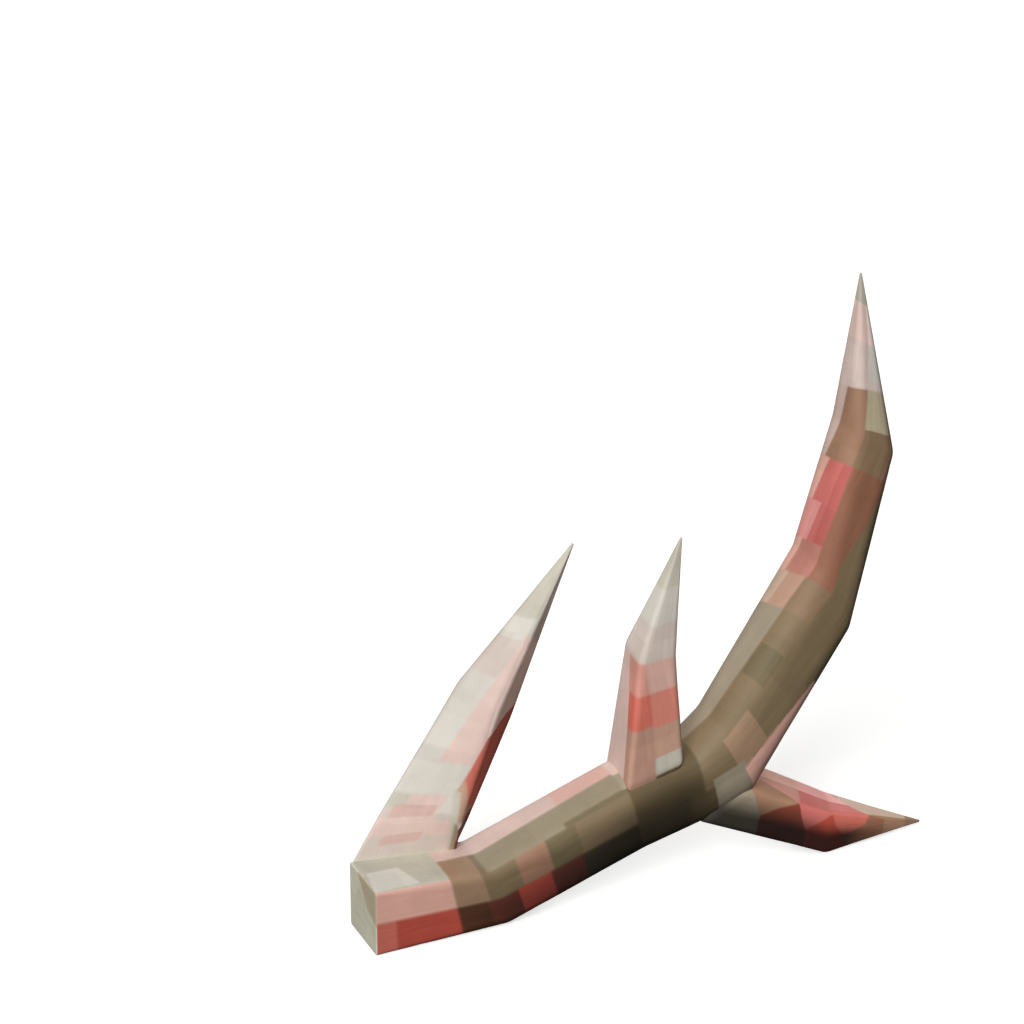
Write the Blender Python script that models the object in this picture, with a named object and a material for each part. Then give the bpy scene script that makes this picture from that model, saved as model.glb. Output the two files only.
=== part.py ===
"""An antler with four points: a bent main beam, cut square at its base, and three tines.

Metres, +Z up, +X along the start of the beam, and the curve of the beam lies in the XZ plane.
The origin is the middle of the flat on which the base of the beam rests. The antler stands on
that flat and on the belly of its back tine.

Each limb is a loft through squarish rings with rounded corners, rounder in the middle of the beam
than at its cut base. It runs straight from ring to ring, and it bends only at the rings.
"""

import math

import bmesh
import bpy
from mathutils import Vector

# Driving dimensions, in millimetres unless the name says otherwise

MM = 0.001
GAP = 0.3
TIP_RADIUS = 0.8
CORNER_STEPS = 4

BASE_HALF_HEIGHT = 19.9
HEEL_HALF_HEIGHT = 20.3
HEEL_LEAN = 18.0
HEEL_HEIGHT = HEEL_HALF_HEIGHT * math.cos(math.radians(HEEL_LEAN))

# The rings of the main beam: the centre's X and Z, the half height, the half width, the lean in
# degrees, from upright towards -X, and the blend, which is the share of each side that a corner's
# curve takes. The first two stand on the plane Z = 0, so the underside between them is the flat on
# which the base rests.

BASE_RING = (-40.0, BASE_HALF_HEIGHT, BASE_HALF_HEIGHT, 18.9, 0.0, 0.04)
HEEL_RING = (34.0, HEEL_HEIGHT, HEEL_HALF_HEIGHT, 20.6, HEEL_LEAN, 0.20)
SHAFT_RING = (119.0, 48.8, 23.6, 22.0, 13.0, 0.38)
FORK_RING = (158.0, 58.0, 24.0, 21.7, 7.0, 0.40)
ELBOW_RING = (180.7, 70.6, 27.1, 21.8, 24.0, 0.40)
SHOULDER_RING = (238.8, 161.1, 26.5, 21.6, 26.0, 0.38)
CROWN_RING = (261.8, 251.0, 17.3, 17.0, 56.0, 0.36)
BEAM_TIP = (256.6, 0.0, 348.0)

# The tines: each ring is four corners, in order round the limb, as X, Y and Z. The first ring
# of a tine lies inside the beam, where the root is cut off, and the second lies on its skin.
# The last ring of the back tine has two corners on the plane Z = 0, its belly. The blends go
# with the rings, and the last one with the tip.

BROW_RINGS = (
    ((-34, 12, 22), (16, 4, 22), (18, 12, 14), (-28, 14, 14)),
    ((-40, 18, 39), (20, 9, 38), (21, 20, 28), (-30, 23, 26)),
    ((-19, 25, 66), (22, 4, 61), (33, 22, 48), (0, 33, 46)),
    ((30, 32, 132), (45, 8, 122), (62, 25, 105), (47, 49, 113)),
)
BROW_TIP = (103.4, 38.0, 198.0)
BROW_BLENDS = (0.08, 0.08, 0.13, 0.22, 0.25)

MIDDLE_RINGS = (
    ((118, 14, 52), (118, -14, 52), (142, -14, 58), (142, 14, 58)),
    ((115, 18, 68), (112, -18, 70), (147, -18, 79), (149, 18, 78)),
    ((122, 11, 147), (122, -11, 142), (145, -11, 142), (146, 11, 147)),
)
MIDDLE_TIP = (151.0, 0.0, 209.0)
MIDDLE_BLENDS = (0.09, 0.09, 0.20, 0.25)

BACK_RINGS = (
    ((176, 13, 66), (176, -14, 66), (160, -14, 54), (160, 13, 54)),
    ((193, 18, 58), (191, -20, 53), (158, -20, 36), (158, 18, 36)),
    ((252, 11, 21), (240, -20, 26), (236, -22, 0), (252, 11, 0)),
)
BACK_TIP = (300.0, -16.0, 4.0)
BACK_BLENDS = (0.24, 0.26, 0.10, 0.20)

BONE_COLOUR = (0.62, 0.57, 0.47, 1.0)
TAN_COLOUR = (0.33, 0.22, 0.14, 1.0)
OLIVE_COLOUR = (0.20, 0.16, 0.09, 1.0)
ROSE_COLOUR = (0.55, 0.24, 0.18, 1.0)
RED_COLOUR = (0.35, 0.06, 0.05, 1.0)
BONE_ROUGHNESS = 0.6


def clear_scene():
    """Remove every object, and leave the file open."""
    for old in list(bpy.data.objects):
        bpy.data.objects.remove(old, do_unlink=True)


def new_collection(name):
    collection = bpy.data.collections.new(name)
    bpy.context.scene.collection.children.link(collection)
    return collection


def new_material(name, colour):
    """A plain material of one colour, matte as bare bone is."""
    material = bpy.data.materials.new(name)
    material.use_nodes = True
    shader = material.node_tree.nodes["Principled BSDF"]
    shader.inputs["Base Color"].default_value = colour
    shader.inputs["Roughness"].default_value = BONE_ROUGHNESS
    shader.inputs["Metallic"].default_value = 0.0
    return material


def beam_ring(ring, shift=0.0, grow=0.0):
    """A ring of the beam as corners and blend, moved along X by shift and grown all round by grow."""
    centre_x, centre_z, half_height, half_width, lean_degrees, blend = ring
    lean = math.radians(lean_degrees)
    centre = Vector((centre_x + shift, 0.0, centre_z))
    up = Vector((-math.sin(lean), 0.0, math.cos(lean))) * (half_height + grow)
    across = Vector((0.0, half_width + grow, 0.0))
    corners = (centre + across + up, centre - across + up, centre - across - up, centre + across - up)
    return corners, blend


def tip_corners(corners, tip):
    """A ring of TIP_RADIUS at a tip, turned the way the ring before it is turned."""
    centre = sum((Vector(corner) for corner in corners), Vector()) / len(corners)
    spokes = [Vector(corner) - centre for corner in corners]
    reach = sum(spoke.length for spoke in spokes) / len(spokes)
    return tuple(Vector(tip) + spoke * (TIP_RADIUS / reach) for spoke in spokes)


def rounded_ring(corners, blend):
    """Round a four-cornered ring: each corner becomes a quadratic curve from one side to the next."""
    points = []
    for index, corner in enumerate(corners):
        corner = Vector(corner)
        before = corner.lerp(Vector(corners[index - 1]), blend)
        after = corner.lerp(Vector(corners[(index + 1) % len(corners)]), blend)
        for step in range(CORNER_STEPS + 1):
            along = step / CORNER_STEPS
            points.append(before.lerp(corner, along).lerp(corner.lerp(after, along), along))
    return points


def loft(name, rings, collection, material=None):
    """A closed limb: rounded rings, each as corners and blend, joined by a skin, with flat ends."""
    shape = bmesh.new()
    loops = [[shape.verts.new(point * MM) for point in rounded_ring(*ring)] for ring in rings]
    for lower, upper in zip(loops, loops[1:]):
        for index in range(len(lower)):
            after = (index + 1) % len(lower)
            shape.faces.new((lower[index], lower[after], upper[after], upper[index]))
    shape.faces.new(loops[0])
    shape.faces.new(loops[-1])
    bmesh.ops.recalc_face_normals(shape, faces=shape.faces)
    mesh = bpy.data.meshes.new(name)
    shape.to_mesh(mesh)
    shape.free()
    mesh.shade_smooth()
    if material:
        mesh.materials.append(material)
    limb = bpy.data.objects.new(name, mesh)
    collection.objects.link(limb)
    return limb


def hide_cutter(cutter):
    cutter.hide_render = True
    cutter.display_type = "WIRE"


def cut_root(tine, cutter):
    """Cut a tine off along the skin of the beam, with the gap that the cutter holds."""
    cut = tine.modifiers.new("root", "BOOLEAN")
    cut.operation = "DIFFERENCE"
    cut.object = cutter


def build_beam(collection):
    """The main beam, in two pieces that part at the fork of the back tine."""
    lower_rings = [beam_ring(ring) for ring in (BASE_RING, HEEL_RING, SHAFT_RING)]
    lower_rings.append(beam_ring(FORK_RING, shift=-GAP / 2))
    loft("lower_beam", lower_rings, collection, new_material("weathered_olive_bone", OLIVE_COLOUR))

    upper_rings = [beam_ring(FORK_RING, shift=GAP / 2)]
    upper_rings += [beam_ring(ring) for ring in (ELBOW_RING, SHOULDER_RING, CROWN_RING)]
    crown_corners, crown_blend = upper_rings[-1]
    upper_rings.append((tip_corners(crown_corners, BEAM_TIP), crown_blend))
    loft("upper_beam", upper_rings, collection, new_material("stained_tan_bone", TAN_COLOUR))


def build_clearance(collection):
    """The whole beam grown by the gap, which cuts the roots of the tines."""
    rings = [BASE_RING, HEEL_RING, SHAFT_RING, FORK_RING, ELBOW_RING, SHOULDER_RING, CROWN_RING]
    cutter = loft("beam_clearance", [beam_ring(ring, grow=GAP) for ring in rings], collection)
    hide_cutter(cutter)
    return cutter


def build_tine(name, rings, tip, blends, material, collection, cutter):
    corners = list(rings) + [tip_corners(rings[-1], tip)]
    tine = loft(name, list(zip(corners, blends)), collection, material)
    cut_root(tine, cutter)


def main():
    clear_scene()
    antler = new_collection("antler")
    cutters = new_collection("cutters")
    cutter = build_clearance(cutters)
    build_beam(antler)
    pale = new_material("pale_bone", BONE_COLOUR)
    build_tine("brow_tine", BROW_RINGS, BROW_TIP, BROW_BLENDS, pale, antler, cutter)
    rose = new_material("rose_bone", ROSE_COLOUR)
    build_tine("middle_tine", MIDDLE_RINGS, MIDDLE_TIP, MIDDLE_BLENDS, rose, antler, cutter)
    red = new_material("red_bone", RED_COLOUR)
    build_tine("back_tine", BACK_RINGS, BACK_TIP, BACK_BLENDS, red, antler, cutter)


main()
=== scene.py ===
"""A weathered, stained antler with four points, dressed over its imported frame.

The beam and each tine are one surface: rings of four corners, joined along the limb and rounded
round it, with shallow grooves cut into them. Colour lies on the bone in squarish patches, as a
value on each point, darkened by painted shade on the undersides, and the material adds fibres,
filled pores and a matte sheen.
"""

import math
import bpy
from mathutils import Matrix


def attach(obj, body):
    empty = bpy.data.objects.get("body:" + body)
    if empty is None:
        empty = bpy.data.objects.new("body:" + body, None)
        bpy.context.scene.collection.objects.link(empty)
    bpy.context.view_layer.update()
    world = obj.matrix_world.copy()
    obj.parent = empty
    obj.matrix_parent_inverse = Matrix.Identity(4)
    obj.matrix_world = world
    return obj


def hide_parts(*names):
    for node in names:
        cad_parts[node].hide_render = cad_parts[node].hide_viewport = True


bl_info = {
    "name": "Antler",
    "version": (1, 0, 0),
    "blender": (4, 5, 0),
    "location": "3D View > Sidebar > Antler",
    "description": "Builds a stained antler over its frame, with a pale floor, soft light and a camera",
    "category": "Add Mesh",
}

import bpy
import numpy as np
from bpy.props import FloatProperty, FloatVectorProperty, PointerProperty
from mathutils import Vector

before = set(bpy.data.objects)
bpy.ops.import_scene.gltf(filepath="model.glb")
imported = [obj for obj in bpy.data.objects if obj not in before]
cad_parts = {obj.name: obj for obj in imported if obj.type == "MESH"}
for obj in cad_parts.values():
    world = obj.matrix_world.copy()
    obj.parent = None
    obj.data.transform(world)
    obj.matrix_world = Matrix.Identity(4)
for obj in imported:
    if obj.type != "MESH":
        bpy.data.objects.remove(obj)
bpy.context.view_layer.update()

MM = 0.001
CORNERS = 4


def srgb(text):
    """An sRGB hex value as linear red, green and blue."""
    values = np.array([int(text[index:index + 2], 16) for index in (1, 3, 5)]) / 255.0
    linear = np.where(values <= 0.04045, values / 12.92, ((values + 0.055) / 1.055) ** 2.4)
    return tuple(float(value) for value in linear)


# The rings of the beam, as the frame has them, in millimetres and degrees: the centre's X and Z,
# the half height, the half width, the lean from upright towards -X, and how round the corners
# are, as the share of each side that the corner takes.

HEEL_HALF_HEIGHT = 20.3
HEEL_LEAN = 18.0
HEEL_HEIGHT = HEEL_HALF_HEIGHT * math.cos(math.radians(HEEL_LEAN))

BEAM_RINGS = (
    (-40.0, 19.9, 19.9, 18.9, 0.0, 0.04),
    (34.0, HEEL_HEIGHT, HEEL_HALF_HEIGHT, 20.6, HEEL_LEAN, 0.20),
    (119.0, 48.8, 23.6, 22.0, 13.0, 0.38),
    (158.0, 58.0, 24.0, 21.7, 7.0, 0.40),
    (180.7, 70.6, 27.1, 21.8, 24.0, 0.40),
    (238.8, 161.1, 26.5, 21.6, 26.0, 0.38),
    (261.8, 251.0, 17.3, 17.0, 56.0, 0.36),
)
BEAM_TIP = (256.6, 0.0, 348.0)

# The rings of the tines, in millimetres: four corners each, in order round the tine. The first
# ring is buried in the beam.

BROW_RINGS = (
    ((-34, 12, 22), (16, 4, 22), (18, 12, 14), (-28, 14, 14)),
    ((-40, 18, 39), (20, 9, 38), (21, 20, 28), (-30, 23, 26)),
    ((-19, 25, 66), (22, 4, 61), (33, 22, 48), (0, 33, 46)),
    ((30, 32, 132), (45, 8, 122), (62, 25, 105), (47, 49, 113)),
)
BROW_TIP = (103.4, 38.0, 198.0)
BROW_ROUNDING = (0.08, 0.08, 0.13, 0.22, 0.25)

MIDDLE_RINGS = (
    ((118, 14, 52), (118, -14, 52), (142, -14, 58), (142, 14, 58)),
    ((115, 18, 68), (112, -18, 70), (147, -18, 79), (149, 18, 78)),
    ((122, 11, 147), (122, -11, 142), (145, -11, 142), (146, 11, 147)),
)
MIDDLE_TIP = (151.0, 0.0, 209.0)
MIDDLE_ROUNDING = (0.09, 0.09, 0.20, 0.25)

BACK_RINGS = (
    ((176, 13, 66), (176, -14, 66), (160, -14, 54), (160, 13, 54)),
    ((193, 18, 58), (191, -20, 53), (158, -20, 36), (158, 18, 36)),
    ((252, 11, 21), (240, -20, 26), (236, -22, 0), (252, 11, 0)),
)
BACK_TIP = (300.0, -16.0, 4.0)
BACK_ROUNDING = (0.24, 0.26, 0.10, 0.20)

# The grid of points: lengths in millimetres, and counts of rows, columns and samples. Bends are
# averaged over BEND_WINDOW each way, and the slant of the rows dies out over SLANT_FADE at each end.

TIP_RADIUS = 0.8
BEND_WINDOW = 2.5
WINDOW_SAMPLES = 10
ROW_STEP = 0.95
COLUMNS_A_SIDE = 36
RIM_RADIUS = 0.7
RIM_ROWS = 4
CAP_ROWS = 20
SLANT_FADE = 30.0

# The least length by which a normal is divided

LEAST_LENGTH = 1e-12

# Grooves and pits: how many grooves lie side by side round a limb, the shares of the depth that
# the wide and the fine ones take, the powers that draw noise into furrows and pits, the
# millimetres over which grooves die out, and how fast the pits set in from the rim of the cut.

GROOVE_LANES = 36.0
WIDE_SHARE = 0.7
FINE_SHARE = 0.3
WIDE_POWER = 4
FINE_POWER = 6
GROOVE_FADE = 25.0
PIT_SIZE = 2.2 * MM
PIT_POWER = 3
PIT_SPREAD = 5.0
PIT_MARGIN = 0.2

# The period is far more than the pits across a cut, so that they don't repeat.

PIT_PERIOD = 4096.0

# The weights and the scale of the sine that stands for chance

HASH_WEIGHTS = (127.1, 311.7, 74.7)
HASH_SCALE = 43758.5453

# Paint: how much the tone changes from cell to cell, how many samples each way soften a border,
# and the place round the limb where the painted shade ends, and over how much it fades.

TONE_RANGE = 0.10
SOAK_SAMPLES = 3
PAINTED_SHADE_END = 3.5
PAINTED_SHADE_FADE = 0.8

# For each limb: the millimetres along it of a cell of tone, how much its colours are brightened
# beside the palette, the seed of its noise, and how strongly its fibres and its dark flecks show.
# On the back tine the brightening is painted light, for light that its top faces don't get.

TONE_CELLS = {"beam": 21.0, "brow": 9.5, "middle": 20.0, "back": 20.0}
LIMB_BRIGHTNESS = {"beam": 1.0, "brow": 1.0, "middle": 1.06, "back": 1.25}
SEEDS = {"beam": 3.0, "brow": 11.0, "middle": 17.0, "back": 23.0}
GRAIN = {"beam": (0.028, 0.09), "brow": (0.016, 0.05), "middle": (0.02, 0.05), "back": (0.02, 0.06)}

# Stains on the bone, painted in order, a later one over an earlier one. A patch is a colour, the
# millimetres along the limb where it starts and ends, and where it starts and ends round it. Places
# round a limb run from 0 to 4, one for each side, and may pass 4. A blot is a colour and the corners
# of its outline, each as millimetres along and a place round. Both follow the twist of the bone:
# a twist turns the places round by so much at so many millimetres along, and a slant shifts a
# patch's ends by so many millimetres from one side to the opposite one. Painted shade darkens the
# underside: its table lists the millimetres along, the places round between which it sets in, and
# how dark it gets. A few colours are painted shade or painted highlight, as marked below.

NO_TURN = ((0.0, 0.0), (1.0, 0.0))

BEAM_TWIST = (
    (0.0, 0.0), (204.0, 0.0), (250.0, 0.12), (300.0, 0.25), (330.0, 0.34), (350.0, 0.37),
    (400.0, 0.58), (430.0, 0.76), (460.0, 0.90), (530.0, 1.20),
)
BEAM_SLANT = (
    (0.0, 0.0), (190.0, 0.0), (260.0, 6.0), (320.0, 10.0), (400.0, 6.0), (460.0, 5.0), (490.0, 0.0),
)
# Painted shade, darkening the underside of the beam
BEAM_PAINTED_SHADE = (
    (0, 1.15, 1.75, 0.0), (45, 1.15, 1.75, 0.0), (75, 1.2, 1.8, 0.55), (130, 1.15, 1.75, 0.75),
    (165, 1.0, 1.65, 0.85), (192, 0.95, 1.65, 0.8), (204, 1.0, 1.7, 0.5), (216, 1.1, 1.9, 0.12),
    (236, 1.2, 2.3, 0.05), (540, 1.3, 2.3, 0.0),
)
BEAM_PATCHES = (
    ("olive", 0, 540, 0.0, 4.0),
    ("grey_bone", 0, 48, 2.5, 5.0),
    ("blood", 0, 48, 1.5, 2.5),
    ("ember", 0, 12, 1.5, 2.5),
    ("flush", 0, 48, 1.0, 1.5),
    ("tan", 48, 68, 0.3, 1.5),
    ("blush", 48, 166, 3.3, 4.5),
    ("peach", 126, 160, 3.3, 4.5),
    ("drab", 72, 162, 0.5, 1.0),
    ("moss", 122, 162, 0.88, 1.0),
    ("grey_tan", 48, 120, 2.6, 3.3),
    ("brown", 89, 108, 1.0, 1.5),
    ("moss", 108, 127, 1.0, 1.5),
    ("umber", 162, 204, 0.5, 1.5),
    ("umber", 172, 204, 0.0, 0.5),
    ("blush", 160, 172, 3.3, 4.55),
    ("grey_tan", 160, 172, 0.55, 0.9),
    ("umber", 120, 204, 2.7, 4.0),
    # Dark brown, partly a stain and partly painted shade on the lower front
    ("earth", 48, 66, 1.5, 2.6),
    ("dried_blood", 66, 85, 1.5, 2.6),
    ("blood", 85, 106, 1.5, 2.4),
    ("dried_blood", 106, 126, 1.5, 2.4),
    # Painted shade: near-black on the lower front of the beam, where it turns from the light
    ("black_painted_shade", 126, 162, 1.5, 2.4),
    ("umber", 162, 214, 1.5, 2.8),
    ("grey_tan", 184, 309, 3.5, 4.47),
    ("tan", 226, 250, 1.0, 1.5),
    ("grey_tan", 210, 231, 1.4, 2.3),
    ("moss", 286, 331, 1.35, 2.3),
    ("moss", 265, 286, 0.5, 1.0),
    ("olive", 275, 309, 1.0, 1.5),
    ("pale_clay", 309, 331, 3.6, 4.1),
    ("fawn", 309, 331, 4.1, 4.45),
    ("bark", 309, 331, 4.45, 5.0),
    ("olive", 309, 331, 1.0, 1.5),
    ("flush", 331, 379, 3.5, 4.1),
    ("russet", 331, 352, 0.0, 0.5),
    ("salmon", 352, 409, 3.85, 4.5),
    # Painted highlight: a lighter strip at the left of the red patch
    ("painted_highlight_pink", 352, 379, 3.4, 4.1),
    ("cherry", 352, 409, 4.25, 4.5),
    ("flush", 379, 409, 3.4, 3.85),
    ("rust", 331, 409, 0.5, 1.0),
    ("olive", 331, 409, 1.0, 2.6),
    ("moss", 366, 412, 1.3, 1.6),
    ("brown", 409, 458, 3.7, 5.6),
    ("blush", 409, 458, 3.2, 3.7),
    ("bark", 409, 434, 0.45, 1.1),
    ("flax", 434, 463, 0.45, 1.1),
    ("pale_shell", 458, 487, 0.0, 4.0),
    ("shell", 487, 510, 0.0, 4.0),
    ("pearl", 487, 510, 0.5, 1.1),
    ("ivory", 463, 487, 0.5, 1.1),
    ("grey_bone", 510, 540, 0.0, 4.0),
    # The underside and the far side of the beam
    ("clay", 66, 85, 2.65, 3.2),
    ("moss", 85, 108, 2.75, 3.2),
    ("rust", 120, 145, 2.8, 3.25),
    ("brown", 172, 196, 2.9, 3.25),
    ("clay", 214, 240, 2.5, 3.0),
    ("brown", 240, 262, 2.35, 3.0),
    ("tan", 262, 286, 2.6, 3.3),
    ("moss", 286, 309, 2.4, 2.8),
    ("drab", 309, 331, 2.6, 3.2),
    ("rust", 331, 352, 2.5, 2.95),
    ("brown", 352, 379, 2.75, 3.2),
    ("grey_tan", 379, 409, 2.6, 2.9),
    ("drab", 409, 434, 2.6, 3.0),
    ("tan", 434, 458, 2.2, 2.7),
)
BEAM_BLOTS = (
    ("ivory", (4, 0.42), (24, 0.42), (30, 0.93), (0, 0.97)),
    ("rust", (352, 0.98), (409, 0.98), (409, 1.3), (352, 1.0)),
    ("flush", (229, 1.5), (262, 1.54), (292, 1.62), (292, 2.4), (229, 2.4)),
)

CUT_GROUND = "ash"
CUT_BLOTS = (
    ("flax", (-20, 41), (8, 41), (2, 33), (-6, 24), (-20, 18)),
    ("pale_ash", (20, 41), (8, 41), (2, 33), (12, 22), (20, 25)),
    ("pale_ash", (-20, 6), (-8, 14), (-2, 4), (-20, -1)),
)

BROW_SLANT = ((0.0, 0.0), (80.0, 3.0), (220.0, 8.0))
# Painted shade, darkening the underside of the brow tine
BROW_PAINTED_SHADE = (
    (0, 1.4, 2.0, 0.3), (50, 1.4, 2.15, 0.7), (110, 1.4, 2.15, 0.6), (140, 1.4, 2.2, 0.3),
    (190, 1.3, 2.0, 0.0), (220, 1.3, 2.0, 0.0),
)
BROW_PATCHES = (
    ("bone", 0, 230, 0.0, 4.0),
    ("grey_bone", 0, 19, 0.0, 4.0),
    ("pale_blush", 19, 46, 0.0, 1.0),
    ("blush", 31, 41, 0.0, 1.0),
    ("grey_bone", 46, 56, 0.0, 0.3),
    ("bone", 56, 66, 0.0, 0.8),
    ("pale_blush", 133, 158, 0.0, 1.0),
    ("rose", 20, 110, 2.0, 3.0),
    ("pale_blush", 110, 160, 2.0, 3.0),
    ("grey_bone", 172, 230, 0.0, 4.0),
    ("bone", 158, 172, 0.0, 4.0),
    ("blush", 30, 60, 3.15, 3.8),
    ("dusk", 76, 95, 3.0, 3.5),
    ("pale_blush", 95, 122, 3.25, 3.85),
    ("peach", 112, 125, 3.0, 3.25),
)
BROW_BLOTS = (
    ("blush", (25, 0.18), (56, 0.28), (58, 0.74), (27, 0.60)),
    ("dusk", (25, 0.18), (31, 0.20), (33, 0.60), (27, 0.58)),
    ("dusk", (41, 0.14), (49, 0.15), (51, 0.66), (44, 0.64)),
    (
        "blush", (78, 0.40), (162, 0.84), (152, 2.2), (128, 2.2), (104, 1.25), (97, 1.05),
        (85, 0.95), (78, 0.90),
    ),
    # Painted light: near-white pink on the side of the brow tine that the key light misses
    ("pearl", (97, 1.02), (160, 1.0), (152, 2.2), (128, 2.2), (104, 1.25)),
    ("ivory", (160, 1.0), (230, 1.0), (230, 2.2), (152, 2.2)),
    (
        "ember", (70, 0.86), (85, 0.95), (97, 1.05), (104, 1.25), (114, 1.5), (130, 2.3),
        (40, 2.3), (51, 1.6), (52, 1.1),
    ),
    # Painted shade: dark brown along the lower edge of the brow tine
    ("earth", (60, 1.92), (120, 1.92), (140, 2.4), (30, 2.4)),
    ("fawn", (38, 0.95), (60, 0.80), (70, 0.86), (52, 1.1), (51, 1.6), (44, 1.25)),
    ("grey_bone", (24, 0.93), (62, 0.78), (60, 0.88), (34, 1.0)),
    ("dried_blood", (14, 0.98), (34, 1.0), (44, 1.25), (51, 1.6), (40, 2.3), (10, 2.3)),
    ("drab", (12, 0.92), (40, 0.92), (36, 0.99), (14, 0.98)),
)

MIDDLE_TWIST = (
    (0.0, 0.0), (30.0, -0.08), (50.0, -0.14), (70.0, -0.25), (90.0, -0.42), (105.0, -0.50),
    (160.0, -0.60),
)
MIDDLE_SLANT = ((0.0, 0.0), (160.0, 2.0))
# No painted shade on the middle tine
MIDDLE_PAINTED_SHADE = ((0, 0.0, 1.0, 0.0), (160, 0.0, 1.0, 0.0))
MIDDLE_PATCHES = (
    ("bone", 0, 170, 0.0, 4.0),
    ("blush", 0, 89, 2.9, 4.85),
    ("mauve", 0, 50, 0.85, 1.55),
    ("fawn", 29, 48, 1.55, 2.9),
    ("ember", 50, 70, 0.85, 1.55),
    ("coral", 48, 70, 1.55, 2.9),
    ("rose", 70, 89, 0.82, 1.55),
    ("peach", 70, 89, 1.55, 2.9),
    ("grey_bone", 16, 29, 1.55, 2.3),
    ("umber", 0, 18, 1.55, 2.9),
    ("pale_blush", 89, 109, 0.0, 4.0),
    ("grey_bone", 129, 170, 0.0, 4.0),
    ("rose", 22, 40, 3.1, 3.6),
    ("dusk", 50, 70, 3.2, 3.7),
    ("peach", 70, 89, 3.0, 3.4),
)
MIDDLE_BLOTS = ()

# Painted shade, darkening the underside of the back tine
BACK_PAINTED_SHADE = (
    (0, 1.0, 1.7, 0.9), (60, 1.05, 1.65, 0.94), (105, 1.15, 1.65, 0.94), (135, 1.2, 1.9, 0.25),
    (151, 1.2, 1.9, 0.0),
)
BACK_PATCHES = (
    ("clay", 0, 100, 0.0, 4.0),
    ("pale_clay", 100, 160, 0.0, 4.0),
    ("flush", 0, 70, 3.0, 4.5),
    ("tan", 0, 60, 2.4, 3.0),
    ("salmon", 60, 110, 2.4, 3.8),
    # A pink stain lightened into a painted highlight along the top edge of the tine
    ("raw_pink", 70, 96, 3.8, 4.3),
    ("brown", 118, 141, 0.9, 3.0),
    ("bark", 141, 160, 0.0, 4.0),
)
BACK_BLOTS = (
    ("rose", (22, 0.56), (70, 0.50), (62, 1.02)),
    ("grey_tan", (0, 1.0), (16, 1.0), (40, 1.5), (56, 2.4), (0, 2.4)),
    ("brown", (16, 1.0), (25, 0.58), (62, 1.02), (48, 1.25), (40, 1.5)),
    ("brick", (62, 1.02), (76, 1.55), (84, 2.4), (56, 2.4), (40, 1.5), (48, 1.25)),
    # A pink stain lightened into a painted highlight along the top edge of the tine
    ("raw_pink", (70, 0.0), (97, 0.1), (106, 0.5), (70, 0.55), (66, 0.55)),
    ("salmon", (66, 0.5), (106, 0.5), (118, 0.95), (118, 1.2), (95, 1.05), (76, 1.55), (62, 1.02)),
    ("ember", (95, 1.05), (118, 1.1), (116, 1.35), (104, 1.62), (98, 1.35)),
    ("blood", (76, 1.55), (95, 1.05), (98, 1.35), (104, 1.62), (106, 2.6), (84, 2.6)),
    ("rust", (118, 0.95), (128, 1.1), (128, 2.6), (106, 2.6), (104, 1.62), (116, 1.35)),
)

# Properties

def stain_colour(name, description, text):
    """A colour property whose default is an sRGB hex value."""
    return FloatVectorProperty(
        name=name, description=description, subtype="COLOR", size=3, min=0.0, max=1.0, default=srgb(text)
    )


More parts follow.
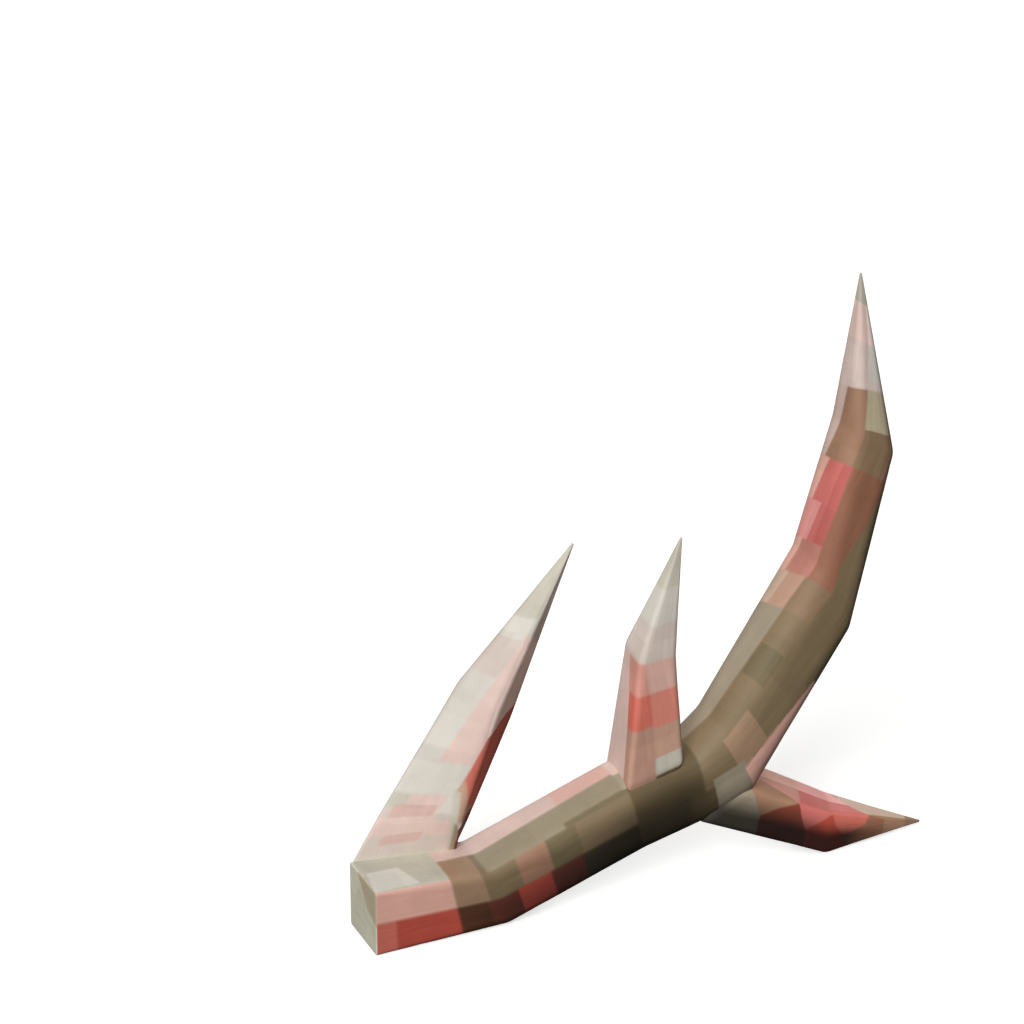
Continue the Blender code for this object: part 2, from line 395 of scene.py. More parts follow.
class AntlerColours(bpy.types.PropertyGroup):
    """The colours of the bone and of what has stained it, and some painted shade and highlight."""

    bone: stain_colour("Bone", "Bleached bone of the brow tine", "#d5cec3")
    grey_bone: stain_colour("Grey bone", "Cut end and tips, greyed by weather", "#c9c3b2")
    pale_blush: stain_colour("Pale blush", "Bone with the faintest pink", "#d1c2b7")
    ash: stain_colour("Ash", "Grey of the cut end", "#d5d0ba")
    pale_ash: stain_colour("Pale ash", "Lighter grey of the cut end", "#ddd8c4")
    drab: stain_colour("Drab", "Dull tan bone", "#9c8f76")
    dusk: stain_colour("Dusk", "Dull pink stain", "#d3b0a5")
    peach: stain_colour("Peach", "Light orange-pink stain", "#dcb0a2")
    fawn: stain_colour("Fawn", "Warm tan bone", "#c89f88")
    ivory: stain_colour("Ivory", "Nearly white bone", "#e3ddd1")
    coral: stain_colour("Coral", "Orange-pink stain", "#de8a79")
    bark: stain_colour("Bark", "Dull brown of the bend", "#93785c")
    flax: stain_colour("Flax", "Greyish yellow bone", "#c2b497")
    # A pink stain lightened into a painted highlight along the back tine's top edge
    raw_pink: stain_colour("Raw pink", "Bright pink stain of the back tine", "#fbb5af")
    # Painted highlight, lighter than the red beside it
    painted_highlight_pink: stain_colour("Warm pink", "Pink beside the red of the beam", "#ec9f99")
    russet: stain_colour("Russet", "Dull red-brown stain", "#c68576")
    cherry: stain_colour("Cherry", "Darker edge of the red of the beam", "#c66862")
    # On the brow tine this is painted light, on the side that the key light misses
    pearl: stain_colour("Pearl", "Pale pink bone on the shaded side of the brow tine", "#fde3d8")
    pale_shell: stain_colour("Pale shell", "Greyer pink bone of the beam's point", "#e3cdc3")
    shell: stain_colour("Shell", "Pale pink bone of the beam's point", "#efd1c5")
    flush: stain_colour("Flush", "Clear light pink stain", "#ebb6a5")
    pale_clay: stain_colour("Pale clay", "Light pinkish tan bone", "#d3b59f")
    blush: stain_colour("Blush", "Bone with a pink stain", "#dec2b7")
    rose: stain_colour("Rose", "Dusty pink stain", "#d79889")
    salmon: stain_colour("Salmon", "Pink-red stain", "#d97870")
    ember: stain_colour("Ember", "Strong orange-red stain", "#d77362")
    blood: stain_colour("Blood", "Deep red stain", "#c35343")
    dried_blood: stain_colour("Dried blood", "Dark, brownish red stain", "#74392a")
    brick: stain_colour("Brick", "Brown-red stain", "#8c4533")
    mauve: stain_colour("Mauve", "Dull pink-brown stain", "#be9380")
    clay: stain_colour("Clay", "Pinkish tan bone", "#bf9a85")
    rust: stain_colour("Rust", "Reddish brown bone", "#9e6b52")
    brown: stain_colour("Brown", "Warm brown bone", "#ab8268")
    tan: stain_colour("Tan", "Tan bone", "#aa8a6e")
    grey_tan: stain_colour("Grey tan", "Tan bone, bleached grey", "#a89b85")
    moss: stain_colour("Moss", "Greenish olive bone", "#7a6c4e")
    olive: stain_colour("Olive", "Olive brown bone of the beam", "#8a7658")
    umber: stain_colour("Umber", "Dark brown of the beam", "#6b5a3d")
    # Partly a dark brown stain and partly painted shade along the undersides
    earth: stain_colour("Earth", "Dark brown grime", "#5b3520")
    # Painted shade: the near-black of the beam's lower front
    black_painted_shade: stain_colour("Soot", "Nearly black grime on the underside", "#483b21")


class AntlerSurface(bpy.types.PropertyGroup):
    """The fine shape of the bone."""

    groove_depth: FloatProperty(
        name="Groove depth", description="Depth of the grooves along the limbs", default=0.18 * MM,
        min=0.0, max=1.0 * MM, precision=5, unit="LENGTH"
    )
    groove_length: FloatProperty(
        name="Groove length", description="How long a groove runs along a limb", default=55.0 * MM,
        min=10.0 * MM, max=200.0 * MM, precision=4, unit="LENGTH"
    )
    pore_depth: FloatProperty(
        name="Pore depth", description="Depth of the pits in the spongy cut end", default=0.2 * MM,
        min=0.0, max=1.5 * MM, precision=5, unit="LENGTH"
    )


class AntlerStage(bpy.types.PropertyGroup):
    """The camera, the light and the floor."""

    camera_turn: FloatProperty(
        name="Camera turn", description="How far the camera stands to the left of square on",
        default=math.radians(24.0), subtype="ANGLE"
    )
    camera_rise: FloatProperty(
        name="Camera rise", description="Angle of the camera above the floor",
        default=math.radians(26.0), subtype="ANGLE"
    )
    camera_distance: FloatProperty(
        name="Camera distance", description="From the camera to its target", default=2.3467,
        unit="LENGTH"
    )
    camera_target: FloatVectorProperty(
        name="Camera target", description="The point that the camera looks at", size=3,
        subtype="TRANSLATION", default=(0.0740, 0.0545, 0.2158)
    )
    lens: FloatProperty(
        name="Lens", description="Focal length in millimetres", default=150.0, min=20.0
    )
    key_power: FloatProperty(
        name="Key light", description="Strength of the soft key light", default=3.0, min=0.0
    )
    key_shadow: FloatProperty(
        name="Key shadow", description="Share of the key light that casts shadows", default=0.55,
        min=0.0, max=1.0
    )
    key_spread: FloatProperty(
        name="Key spread", description="How wide the key light is, as an angle",
        default=math.radians(30.0), subtype="ANGLE"
    )
    key_direction: FloatVectorProperty(
        name="Key direction", description="Towards the key light", size=3, subtype="DIRECTION",
        default=(-0.57, -0.55, 0.61)
    )
    fill_power: FloatProperty(
        name="Back fill", description="Strength of the fill from behind", default=1.15, min=0.0
    )
    fill_direction: FloatVectorProperty(
        name="Fill direction", description="Towards the fill from behind", size=3, subtype="DIRECTION",
        default=(0.35, 0.88, 0.32)
    )
    room_light: FloatProperty(
        name="Room light", description="Even light from above", default=0.13, min=0.0
    )
    floor_glow: FloatProperty(
        name="Floor glow", description="Keeps the floor pale where the antler shades it",
        default=0.45, min=0.0
    )
    floor_colour: stain_colour("Floor", "Pale floor", "#f4f4f2")


# Limbs

def beam_corners():
    """Corners of the beam's rings: the centre, plus or minus half a height up the leaning ring and
    half a width along Y."""
    centre_x, centre_z, half_height, half_width, lean_degrees, _ = np.transpose(BEAM_RINGS)
    lean = np.radians(lean_degrees)
    still = np.zeros(len(lean))
    centre = np.stack([centre_x, still, centre_z], 1)
    up = np.stack([-np.sin(lean), still, np.cos(lean)], 1) * half_height[:, None]
    across = np.stack([still, half_width, still], 1)
    top = [centre + across + up, centre - across + up]
    bottom = [centre - across - up, centre + across - up]
    return np.stack(top + bottom, 1)


def with_tip(corners, tip):
    """Add a last ring of TIP_RADIUS at the tip, turned as the ring before it."""
    corners = np.asarray(corners, float)
    spokes = corners[-1] - corners[-1].mean(0)
    reach = np.linalg.norm(spokes, axis=1).mean()
    last = np.asarray(tip, float) + spokes * (TIP_RADIUS / reach)
    return np.concatenate([corners, last[None]], 0)


def ring_marks(corners):
    """Millimetres along the limb at each ring, from ring centre to ring centre."""
    steps = np.linalg.norm(np.diff(corners.mean(1), axis=0), axis=1)
    return np.concatenate([[0.0], np.cumsum(steps)])


def along_limb(values, marks, at):
    """Straight lines from ring to ring, averaged over BEND_WINDOW each way, or less near an end."""
    flat = values.reshape(len(marks), -1)
    window = np.minimum(BEND_WINDOW, np.minimum(at, marks[-1] - at))
    shares = (np.arange(WINDOW_SAMPLES) + 0.5) / WINDOW_SAMPLES * 2.0 - 1.0
    total = np.zeros(at.shape + flat.shape[1:])
    for share in shares:
        place = at + share * window
        for column in range(flat.shape[1]):
            total[..., column] += np.interp(place, marks, flat[:, column])
    return (total / WINDOW_SAMPLES).reshape(at.shape + values.shape[1:])


def round_outline(corners, rounding, around):
    """Points round each ring: straight between corners, and near a corner the quadratic curve
    that runs from one side to the next, over a share of each side given by rounding."""
    nearest = np.round(around).astype(int)
    offset = around - nearest
    corner = pick_corner(corners, nearest)
    before = pick_corner(corners, nearest - 1) - corner
    after = pick_corner(corners, nearest + 1) - corner
    way = np.clip((offset + rounding) / (2.0 * rounding), 0.0, 1.0)
    curved = (rounding * (1.0 - way) ** 2)[..., None] * before + (rounding * way ** 2)[..., None] * after
    straight = np.maximum(-offset, 0.0)[..., None] * before + np.maximum(offset, 0.0)[..., None] * after
    inside = (np.abs(offset) < rounding)[..., None]
    return corner + np.where(inside, curved, straight)


def pick_corner(corners, index):
    """For each point of the grid, the corner of its own ring that index names."""
    return np.take_along_axis(corners, (index % CORNERS)[..., None, None], axis=2)[:, :, 0]


def hashed(first, second, seed):
    """A number from 0 to 1 for each pair of whole numbers: the fractional part of a large sine."""
    first_weight, second_weight, seed_weight = HASH_WEIGHTS
    phase = first * first_weight + second * second_weight + seed * seed_weight
    return np.modf(np.abs(np.sin(phase) * HASH_SCALE))[0]


def value_noise(along, around, period, seed):
    """Smooth noise: random values at whole numbers, blended by 3t^2 - 2t^3, closed round the limb."""
    row = np.floor(along)
    column = np.floor(around)
    row_share = along - row
    column_share = around - column
    row_share = row_share * row_share * (3.0 - 2.0 * row_share)
    column_share = column_share * column_share * (3.0 - 2.0 * column_share)
    near = hashed(row, column % period, seed) * (1 - column_share)
    near = near + hashed(row, (column + 1) % period, seed) * column_share
    far = hashed(row + 1, column % period, seed) * (1 - column_share)
    far = far + hashed(row + 1, (column + 1) % period, seed) * column_share
    return near * (1 - row_share) + far * row_share


def outward(points):
    """Outward normals of a closed grid: the cross product of its two directions."""
    down = np.gradient(points, axis=0)
    across = (np.roll(points, -1, 1) - np.roll(points, 1, 1)) / 2.0
    normal = np.cross(across, down)
    length = np.linalg.norm(normal, axis=2, keepdims=True)
    return normal / np.maximum(length, LEAST_LENGTH)


def limb_rows(length, cut_end, half_size):
    """For each row of the grid, its place along the limb and its ring's scale.

    A cut end starts with rows that spread from the middle of the cut, then a rim whose
    section is a quarter circle. The rest are rows ROW_STEP apart."""
    count = int(round(length / ROW_STEP)) + 1
    if not cut_end:
        places = np.linspace(0.0, length, count)
        return places, np.ones(count)
    rim = RIM_RADIUS / half_size
    cap_scale = np.linspace(1.0 / CAP_ROWS, 1.0, CAP_ROWS) * (1.0 - rim)
    turn = np.linspace(0.0, math.pi / 2.0, RIM_ROWS + 1)[1:]
    rim_place = RIM_RADIUS * (1.0 - np.cos(turn))
    rim_scale = 1.0 - rim * (1.0 - np.sin(turn))
    body = np.linspace(RIM_RADIUS, length, count)[1:]
    places = np.concatenate([np.zeros(CAP_ROWS), rim_place, body])
    scales = np.concatenate([cap_scale, rim_scale, np.ones(len(body))])
    return places, scales


def groove_depths(places, around, surface, seed):
    """Depth of the grooves: two layers of noise stretched along the limb, one twice as fine as the
    other. Each is folded at its middle, 1 - |2n - 1|, and raised to a power, which leaves furrows."""
    along = places[:, None] * MM / surface.groove_length
    around = around[None, :]
    lanes = GROOVE_LANES / CORNERS
    wander = value_noise(along * 2.0, around * 2.0, CORNERS * 2.0, seed + 1.0)
    wide = value_noise(along, around * (lanes / 2.0) + wander, GROOVE_LANES / 2.0, seed)
    fine = value_noise(along * 2.0, around * lanes + wander, GROOVE_LANES, seed + 2.0)
    furrow = (1.0 - np.abs(2.0 * wide - 1.0)) ** WIDE_POWER
    scratch = (1.0 - np.abs(2.0 * fine - 1.0)) ** FINE_POWER
    return surface.groove_depth * (WIDE_SHARE * furrow + FINE_SHARE * scratch)


def pit_depths(points, scales, surface, seed):
    """Depth of the pits in a cut end: smooth noise over the face of the cut, none at its rim."""
    pits = value_noise(points[..., 1] / PIT_SIZE, points[..., 2] / PIT_SIZE, PIT_PERIOD, seed)
    cut = np.zeros(len(scales))
    cut[:CAP_ROWS] = np.clip((1.0 - scales[:CAP_ROWS]) * PIT_SPREAD - PIT_MARGIN, 0.0, 1.0)
    return surface.pore_depth * pits ** PIT_POWER * cut[:, None]


def limb_grid(corners, rounding, twist, slant, cut_end, surface, seed):
    """The whole limb as a grid of points, rows along it and columns round it. The columns turn by
    the twist, and the rows slant by so many millimetres a side, so that patches follow both. The
    grooves sink into it along the inward normal."""
    marks = ring_marks(corners)
    half_size = np.linalg.norm(corners[0, 0] - corners[0, 1]) / 2.0
    places, scales = limb_rows(marks[-1], cut_end, half_size)
    columns = np.arange(CORNERS * COLUMNS_A_SIDE) / COLUMNS_A_SIDE
    turn = np.interp(places, *np.transpose(twist))[:, None]
    around = columns[None, :] + turn
    ends = np.clip(np.minimum(places, marks[-1] - places) / SLANT_FADE, 0.0, 1.0)
    lean = (np.interp(places, *np.transpose(slant)) * ends)[:, None]
    at = places[:, None] - lean * np.cos(around * math.pi / 2.0)
    at = np.clip(at, 0.0, marks[-1])
    rings = along_limb(corners, marks, at)
    shares = along_limb(np.asarray(rounding, float), marks, at)
    points = round_outline(rings, shares, around)
    centre = rings.mean(2)
    points = (centre + (points - centre) * scales[:, None, None]) * MM
    from_end = marks[-1] - places
    if cut_end:
        from_end = np.minimum(from_end, places)
    fade = np.clip(from_end / GROOVE_FADE, 0.0, 1.0)[:, None]
    depth = groove_depths(places, columns, surface, seed) * fade
    if cut_end:
        depth = depth + pit_depths(points, scales, surface, seed)
    points = points - outward(points) * depth[..., None]
    return points, places, scales, columns


def grid_faces(rows, columns):
    """Quads between the rows, closed round, and a fan of triangles at each end's pole."""
    index = np.arange(rows * columns).reshape(rows, columns)
    here = index[:-1]
    after = index[1:]
    quads = np.stack([here, np.roll(here, -1, 1), np.roll(after, -1, 1), after], 2).reshape(-1, 4)
    first_pole = rows * columns
    last_pole = first_pole + 1
    start = np.stack([np.full(columns, first_pole), np.roll(index[0], -1), index[0]], 1)
    end = np.stack([np.full(columns, last_pole), index[-1], np.roll(index[-1], -1)], 1)
    return quads, start, end


def mesh_object(name, points, quads, start, end, poles):
    """A smooth-shaded mesh from whole arrays of points and faces."""
    vertices = np.concatenate([points.reshape(-1, 3), poles]).astype(np.float32)
    loops = np.concatenate([quads.ravel(), start.ravel(), end.ravel()]).astype(np.int32)
    sizes = np.concatenate([np.full(len(quads), 4), np.full(len(start) + len(end), 3)])
    starts = np.concatenate([[0], np.cumsum(sizes)[:-1]]).astype(np.int32)
    mesh = bpy.data.meshes.new(name)
    mesh.vertices.add(len(vertices))
    mesh.vertices.foreach_set("co", vertices.ravel())
    mesh.loops.add(len(loops))
    mesh.loops.foreach_set("vertex_index", loops)
    mesh.polygons.add(len(sizes))
    mesh.polygons.foreach_set("loop_start", starts)
    mesh.update(calc_edges=True)
    mesh.validate()
    mesh.shade_smooth()
    piece = bpy.data.objects.new(name, mesh)
    bpy.context.scene.collection.objects.link(piece)
    return piece


def inside_outline(along, around, outline):
    """Whether each point lies in an outline: its ray towards higher places round crosses the
    outline an odd number of times."""
    inside = np.zeros(np.broadcast(along, around).shape, bool)
    for (from_along, from_around), (to_along, to_around) in zip(outline, outline[1:] + outline[:1]):
        spans = (from_along > along) != (to_along > along)
        run = (to_along - from_along) or 1.0
        crossing = from_around + (along - from_along) / run * (to_around - from_around)
        inside ^= spans & (around < crossing)
    return inside


def painted_shade_depth(along, around, painted_shade):
    """How far painted shade darkens the underside: it sets in between two places round the limb by
    3t^2 - 2t^3, fades again by the far side, and has its own depth at so many millimetres along."""
    marks, firsts, fulls, depths = np.transpose(painted_shade)
    first = np.interp(along, marks, firsts)
    full = np.interp(along, marks, fulls)
    depth = np.interp(along, marks, depths)
    rise = np.clip((around - first) / (full - first), 0.0, 1.0)
    fall = np.clip((PAINTED_SHADE_END - around) / PAINTED_SHADE_FADE, 0.0, 1.0)
    share = rise * fall
    return depth * share * share * (3.0 - 2.0 * share)


def paint(along, across, patches, blots, palette, cell, seed):
    """The colour at each point: the last patch or blot that covers it, with a small change of tone
    from cell to cell."""
    colours = np.zeros((along.shape[0], across.shape[1], 3))
    for name, start, end, left, right in patches:
        covered = (along >= start) & (along < end) & (((across - left) % CORNERS) < (right - left))
        colours[covered] = palette[name]
    for name, *outline in blots:
        for turn in (0.0, CORNERS):
            colours[inside_outline(along, across + turn, outline)] = palette[name]
    tone = 1.0 + TONE_RANGE * (hashed(np.floor(along / cell), np.floor(across * 2.0), seed) - 0.5)
    return colours * tone[..., None]


def soft_paint(places, columns, markings, palette, seed):
    """Paint whose borders soak into the bone: the mean over a small square round each point, with
    the painted shade laid over it."""
    patches, blots, painted_shade, cell, brightness = markings
    shares = (np.arange(SOAK_SAMPLES) + 0.5) / SOAK_SAMPLES - 0.5
    total = 0.0
    for row_share in shares:
        for column_share in shares:
            along = (places + row_share * ROW_STEP)[:, None]
            across = (columns + column_share / COLUMNS_A_SIDE)[None, :]
            total = total + paint(along, across, patches, blots, palette, cell, seed)
    dark = painted_shade_depth(places[:, None], columns[None, :], painted_shade)
    return total / SOAK_SAMPLES ** 2 * brightness * (1.0 - dark)[..., None]


def paint_cut(colours, points, palette):
    """The cut end: the wedges of CUT_BLOTS over its ground colour, in millimetres across and up."""
    rows = CAP_ROWS + RIM_ROWS - 1
    across = points[:rows, :, 1] / MM
    upward = points[:rows, :, 2] / MM
    colours[:rows] = palette[CUT_GROUND]
    for name, *outline in CUT_BLOTS:
        colours[:rows][inside_outline(across, upward, outline)] = palette[name]


def set_point_data(mesh, colours, places, scales, columns, girth):
    """Store on the points the stain colour, which also holds the painted shade and highlight, and the
    grain: metres along the limb, and a circle of the limb's girth round it, smaller towards the
    middle of a cut, so that fibres run on with no seam."""
    ends = np.stack([colours[0].mean(0), colours[-1].mean(0)])
    values = np.ones((colours.shape[0] * colours.shape[1] + 2, 4), np.float32)
    values[:, :3] = np.concatenate([colours.reshape(-1, 3), ends])
    stain = mesh.attributes.new("stain", "FLOAT_COLOR", "POINT")
    stain.data.foreach_set("color", values.ravel())

    radius = (girth / (2.0 * math.pi) * MM * scales)[:, None]
    angle = columns[None, :] * (math.pi / 2.0)
    length = np.broadcast_to(places[:, None] * MM, colours.shape[:2])
    grain = np.stack([length, radius * np.cos(angle), radius * np.sin(angle)], 2)
    poles = np.array([[places[0] * MM, 0.0, 0.0], [places[-1] * MM, 0.0, 0.0]])
    grain = np.concatenate([grain.reshape(-1, 3), poles]).astype(np.float32)
    attribute = mesh.attributes.new("grain", "FLOAT_VECTOR", "POINT")
    attribute.data.foreach_set("vector", grain.ravel())


def build_limb(name, corners, rounding, form, markings, cut_end, seed):
    """Make one limb's mesh and colour it. Its form is a twist and a slant. Its markings are patches,
    blots, painted shade, the size of a cell of tone and how much the colours are brightened."""
    scene = bpy.context.scene
    colour_names = AntlerColours.__annotations__
    palette = {key: np.array(getattr(scene.antler_colours, key)) for key in colour_names}
    surface = scene.antler_surface
    points, places, scales, columns = limb_grid(corners, rounding, *form, cut_end, surface, seed)
    quads, start, end = grid_faces(*points.shape[:2])
    poles = np.stack([points[0].mean(0), points[-1].mean(0)])
    piece = mesh_object(name, points, quads, start, end, poles)
    colours = soft_paint(places, columns, markings, palette, seed)
    if cut_end:
        paint_cut(colours, points, palette)
    sides = np.roll(corners, -1, axis=1) - corners
    girth = np.linalg.norm(sides, axis=2).sum(1).mean()
    set_point_data(piece.data, colours, places, scales, columns, girth)
    return piece


# Materials

FIBRE_LENGTH = 18.0 * MM
FIBRE_WIDTH = 1.2 * MM
PORE_LENGTH = 4.0 * MM
PORE_WIDTH = 0.9 * MM
CLOUD_SIZE = 14.0 * MM
BUMP_DEPTH = 0.35 * MM
BUMP_STRENGTH = 0.2

# Noise keeps near 0.5, so it is read between these two values. A pore is where it is higher still.

NOISE_LOW = 0.3
NOISE_HIGH = 0.7
PORE_LOW = 0.62
PORE_HIGH = 0.74
CLOUD_LOW = 0.96
CLOUD_HIGH = 1.04

# Dry bone: its index of refraction, and how rough a dark and a light fibre are

BONE_IOR = 1.5
SMOOTHEST = 0.62
ROUGHEST = 0.72


def add(tree, kind, links=(), values=None, **settings):
    """Add a node: links are pairs of an input and the socket that feeds it, values are numbers for
    inputs, and settings are the node's own."""
    node = tree.nodes.new(kind)
    for key, value in settings.items():
        setattr(node, key, value)
    for key, value in (values or {}).items():
        node.inputs[key].default_value = value
    for key, socket in links:
        tree.links.new(socket, node.inputs[key])
    return node


def bone_material(name, along_grain, fleck_share):
    """Weathered antler bone, rubbed smooth by hand and weather: a matte skin with fine fibres along
    the limb, cloudy patches of light and dark, and dark flecks where pores have filled with dirt.

    A light and a dark fibre together are 1.2 mm wide and 18 mm long, drawn twice as coarse as real
    ones so that they show. A cloud is 14 mm across, and a pore's cell is 0.9 mm wide and 4 mm long."""
    material = bpy.data.materials.new(name)
    material.use_nodes = True
    tree = material.node_tree
    shader = tree.nodes["Principled BSDF"]
    shader.inputs["IOR"].default_value = BONE_IOR
    stain = add(tree, "ShaderNodeAttribute", attribute_name="stain")
    grain = add(tree, "ShaderNodeAttribute", attribute_name="grain")

    fibre_place = add(
        tree, "ShaderNodeVectorMath", [(0, grain.outputs["Vector"])], operation="MULTIPLY",
        values={1: (1.0 / FIBRE_LENGTH, 1.0 / FIBRE_WIDTH, 1.0 / FIBRE_WIDTH)}
    )
    fibres = add(
        tree, "ShaderNodeTexNoise", [("Vector", fibre_place.outputs[0])],
        values={"Scale": 1.0, "Detail": 3.0, "Roughness": 0.55}
    )
    pore_place = add(
        tree, "ShaderNodeVectorMath", [(0, grain.outputs["Vector"])], operation="MULTIPLY",
        values={1: (1.0 / PORE_LENGTH, 1.0 / PORE_WIDTH, 1.0 / PORE_WIDTH)}
    )
    pores = add(
        tree, "ShaderNodeTexNoise", [("Vector", pore_place.outputs[0])],
        values={"Scale": 1.0, "Detail": 1.0}
    )
    flecks = add(
        tree, "ShaderNodeMapRange", [("Value", pores.outputs["Fac"])], interpolation_type="SMOOTHSTEP",
        values={"From Min": PORE_LOW, "From Max": PORE_HIGH, "To Min": 0.0, "To Max": fleck_share}
    )
    place = add(tree, "ShaderNodeTexCoord")
    clouds = add(
        tree, "ShaderNodeTexNoise", [("Vector", place.outputs["Object"])],
        values={"Scale": 1.0 / CLOUD_SIZE, "Detail": 2.0, "Roughness": 0.5}
    )

    fibre_tone = add(
        tree, "ShaderNodeMapRange", [("Value", fibres.outputs["Fac"])],
        values={
            "From Min": NOISE_LOW, "From Max": NOISE_HIGH,
            "To Min": 1.0 - along_grain, "To Max": 1.0 + along_grain
        }
    )
    cloud_tone = add(
        tree, "ShaderNodeMapRange", [("Value", clouds.outputs["Fac"])],
        values={
            "From Min": NOISE_LOW, "From Max": NOISE_HIGH, "To Min": CLOUD_LOW, "To Max": CLOUD_HIGH
        }
    )
    tone = add(
        tree, "ShaderNodeMath", [(0, fibre_tone.outputs[0]), (1, cloud_tone.outputs[0])],
        operation="MULTIPLY"
    )
    kept = add(
        tree, "ShaderNodeMath", [(1, flecks.outputs[0])], operation="SUBTRACT", values={0: 1.0}
    )
    value = add(
        tree, "ShaderNodeMath", [(0, tone.outputs[0]), (1, kept.outputs[0])], operation="MULTIPLY"
    )
    colour = add(
        tree, "ShaderNodeHueSaturation", [("Color", stain.outputs["Color"]), ("Value", value.outputs[0])]
    )
    tree.links.new(colour.outputs["Color"], shader.inputs["Base Color"])

    roughness = add(
        tree, "ShaderNodeMapRange", [("Value", fibres.outputs["Fac"])],
        values={
            "From Min": NOISE_LOW, "From Max": NOISE_HIGH, "To Min": SMOOTHEST, "To Max": ROUGHEST
        }
    )
    tree.links.new(roughness.outputs[0], shader.inputs["Roughness"])
    height = add(
        tree, "ShaderNodeMath", [(0, fibres.outputs["Fac"]), (1, flecks.outputs[0])], operation="SUBTRACT"
    )
    bump = add(
        tree, "ShaderNodeBump", [("Height", height.outputs[0])],
        values={"Strength": BUMP_STRENGTH, "Distance": BUMP_DEPTH}
    )
    tree.links.new(bump.outputs["Normal"], shader.inputs["Normal"])
    return material


def limb_markings(limb, patches, blots, painted_shade):
    """A limb's patches, blots and painted shade, with its own cell of tone and brightening."""
    return patches, blots, painted_shade, TONE_CELLS[limb], LIMB_BRIGHTNESS[limb]


def finish_piece(piece, material, slot, *nodes):
    """Give a piece its material, let it ride on the frame and stand for its nodes."""
    piece.data.materials.append(material)
    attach(piece, "root")
    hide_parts(*nodes)


class ANTLER_OT_beam(bpy.types.Operator):
    """Build the main beam, from its cut end to its point."""

    bl_idname = "antler.beam"
    bl_label = "Build the beam"

    def execute(self, context):
        corners = with_tip(beam_corners(), BEAM_TIP)
        rounding = [ring[-1] for ring in BEAM_RINGS]
        rounding.append(rounding[-1])
        form = (BEAM_TWIST, BEAM_SLANT)
        markings = limb_markings("beam", BEAM_PATCHES, BEAM_BLOTS, BEAM_PAINTED_SHADE)
        piece = build_limb("beam", corners, rounding, form, markings, True, SEEDS["beam"])
        material = bone_material("weathered_beam_bone", *GRAIN["beam"])
        finish_piece(piece, material, "olive_bone", "lower_beam", "upper_beam")
        return {"FINISHED"}


class ANTLER_OT_tines(bpy.types.Operator):
    """Build the brow tine, the middle tine and the back tine."""

    bl_idname = "antler.tines"
    bl_label = "Build the tines"

    def execute(self, context):
        corners = with_tip(BROW_RINGS, BROW_TIP)
        form = (NO_TURN, BROW_SLANT)
        markings = limb_markings("brow", BROW_PATCHES, BROW_BLOTS, BROW_PAINTED_SHADE)
        piece = build_limb("brow_point", corners, BROW_ROUNDING, form, markings, False, SEEDS["brow"])
        material = bone_material("bleached_brow_bone", *GRAIN["brow"])
        finish_piece(piece, material, "pale_bone", "brow_tine")

        corners = with_tip(MIDDLE_RINGS, MIDDLE_TIP)
        form = (MIDDLE_TWIST, MIDDLE_SLANT)
        markings = limb_markings("middle", MIDDLE_PATCHES, MIDDLE_BLOTS, MIDDLE_PAINTED_SHADE)
        piece = build_limb("middle_point", corners, MIDDLE_ROUNDING, form, markings, False, SEEDS["middle"])
        material = bone_material("rosy_middle_bone", *GRAIN["middle"])
        finish_piece(piece, material, "rose_bone", "middle_tine")

        corners = with_tip(BACK_RINGS, BACK_TIP)
        form = (NO_TURN, NO_TURN)
        markings = limb_markings("back", BACK_PATCHES, BACK_BLOTS, BACK_PAINTED_SHADE)
        piece = build_limb("back_point", corners, BACK_ROUNDING, form, markings, False, SEEDS["back"])
        material = bone_material("stained_back_bone", *GRAIN["back"])
        finish_piece(piece, material, "red_bone", "back_tine")
        return {"FINISHED"}


# Stage: the floor's size in metres and its roughness, and the room's light, which falls to a
# small share of itself below the horizon, over so much height either way

FLOOR_SIZE = 40.0
FLOOR_ROUGHNESS = 0.9
LOW_LIGHT_SHARE = 0.15
HORIZON_BAND = 0.2


def look_at(thing, place, target):
    """Put an object at a place and turn its -Z towards a target."""
    thing.location = place
    thing.rotation_euler = (Vector(target) - Vector(place)).to_track_quat("-Z", "Y").to_euler()


def soft_light(name, direction, power, spread):
    """A wide, even light from far away."""
    light = bpy.data.lights.new(name, "SUN")
    light.energy = power
    light.angle = spread
    lamp = bpy.data.objects.new(name, light)
    bpy.context.scene.collection.objects.link(lamp)
    look_at(lamp, Vector(direction), (0.0, 0.0, 0.0))
    return light


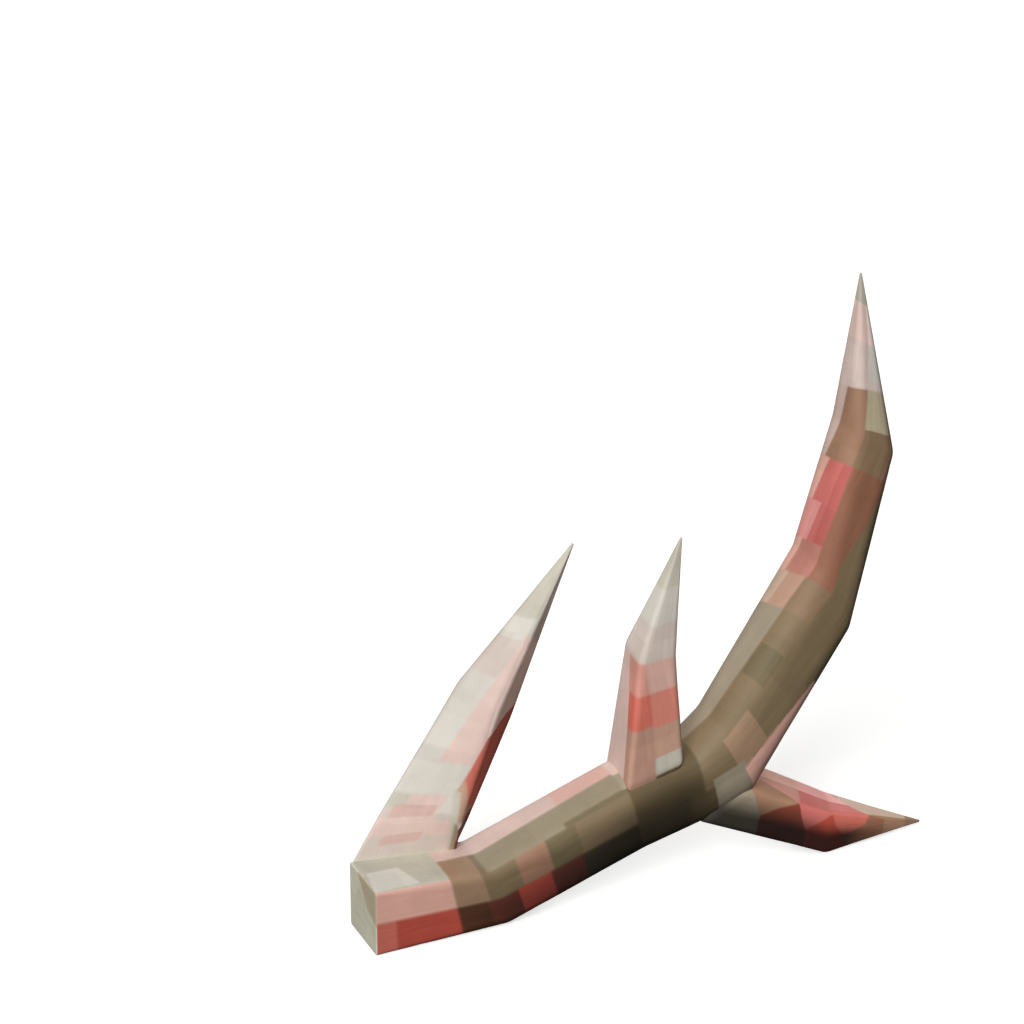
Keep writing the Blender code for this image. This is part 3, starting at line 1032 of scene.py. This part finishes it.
class ANTLER_OT_stage(bpy.types.Operator):
    """Lay the floor, set the light and place the camera."""

    bl_idname = "antler.stage"
    bl_label = "Set the stage"

    def execute(self, context):
        scene = context.scene
        stage = scene.antler_stage
        target = Vector(stage.camera_target)
        turn = stage.camera_turn
        rise = stage.camera_rise
        level = math.cos(rise)
        back = Vector((-math.sin(turn) * level, -math.cos(turn) * level, math.sin(rise)))
        camera_data = bpy.data.cameras.new("camera")
        camera_data.lens = stage.lens
        camera = bpy.data.objects.new("camera", camera_data)
        scene.collection.objects.link(camera)
        look_at(camera, target + back * stage.camera_distance, target)
        scene.camera = camera

        bpy.ops.mesh.primitive_plane_add(size=FLOOR_SIZE)
        floor = context.object
        floor.name = "floor"
        floor.visible_diffuse = False
        floor.visible_glossy = False
        # Flat matte paint, so that nothing on the floor takes the eye from the antler
        coat = bpy.data.materials.new("matte_floor")
        coat.use_nodes = True
        shader = coat.node_tree.nodes["Principled BSDF"]
        shader.inputs["Base Color"].default_value = (*stage.floor_colour, 1.0)
        shader.inputs["Roughness"].default_value = FLOOR_ROUGHNESS
        shader.inputs["Emission Color"].default_value = (*stage.floor_colour, 1.0)
        shader.inputs["Emission Strength"].default_value = stage.floor_glow
        floor.data.materials.append(coat)

        shaded = stage.key_power * stage.key_shadow
        soft_light("soft_key", stage.key_direction, shaded, stage.key_spread)
        unshaded = stage.key_power - shaded
        bounce = soft_light("key_bounce", stage.key_direction, unshaded, stage.key_spread)
        bounce.use_shadow = False
        soft_light("back_fill", stage.fill_direction, stage.fill_power, stage.key_spread)

        world = bpy.data.worlds.new("pale_room")
        world.use_nodes = True
        tree = world.node_tree
        background = tree.nodes["Background"]
        background.inputs["Color"].default_value = (1.0, 1.0, 1.0, 1.0)
        way = add(tree, "ShaderNodeTexCoord")
        height = add(tree, "ShaderNodeSeparateXYZ", [(0, way.outputs["Generated"])])
        glow = add(
            tree, "ShaderNodeMapRange", [("Value", height.outputs["Z"])],
            values={
                "From Min": -HORIZON_BAND, "From Max": HORIZON_BAND,
                "To Min": stage.room_light * LOW_LIGHT_SHARE, "To Max": stage.room_light
            }
        )
        tree.links.new(glow.outputs[0], background.inputs["Strength"])
        scene.world = world
        scene.view_settings.view_transform = "Standard"
        return {"FINISHED"}


class ANTLER_PT_panel(bpy.types.Panel):
    """Lists the sizes, the colours and the steps."""

    bl_idname = "ANTLER_PT_panel"
    bl_label = "Antler"
    bl_space_type = "VIEW_3D"
    bl_region_type = "UI"
    bl_category = "Antler"

    def draw(self, context):
        layout = self.layout
        scene = context.scene
        for group in (scene.antler_colours, scene.antler_surface, scene.antler_stage):
            box = layout.box()
            for name in group.__annotations__:
                box.prop(group, name)
        for operator in (ANTLER_OT_beam, ANTLER_OT_tines, ANTLER_OT_stage):
            layout.operator(operator.bl_idname)


CLASSES = (
    AntlerColours, AntlerSurface, AntlerStage, ANTLER_OT_beam, ANTLER_OT_tines, ANTLER_OT_stage,
    ANTLER_PT_panel,
)


def register():
    for each in CLASSES:
        bpy.utils.register_class(each)
    bpy.types.Scene.antler_colours = PointerProperty(type=AntlerColours)
    bpy.types.Scene.antler_surface = PointerProperty(type=AntlerSurface)
    bpy.types.Scene.antler_stage = PointerProperty(type=AntlerStage)


def unregister():
    del bpy.types.Scene.antler_stage
    del bpy.types.Scene.antler_surface
    del bpy.types.Scene.antler_colours
    for each in reversed(CLASSES):
        bpy.utils.unregister_class(each)


def main():
    register()
    bpy.ops.antler.beam()
    bpy.ops.antler.tines()
    bpy.ops.antler.stage()


if __name__ == "__main__":
    main()
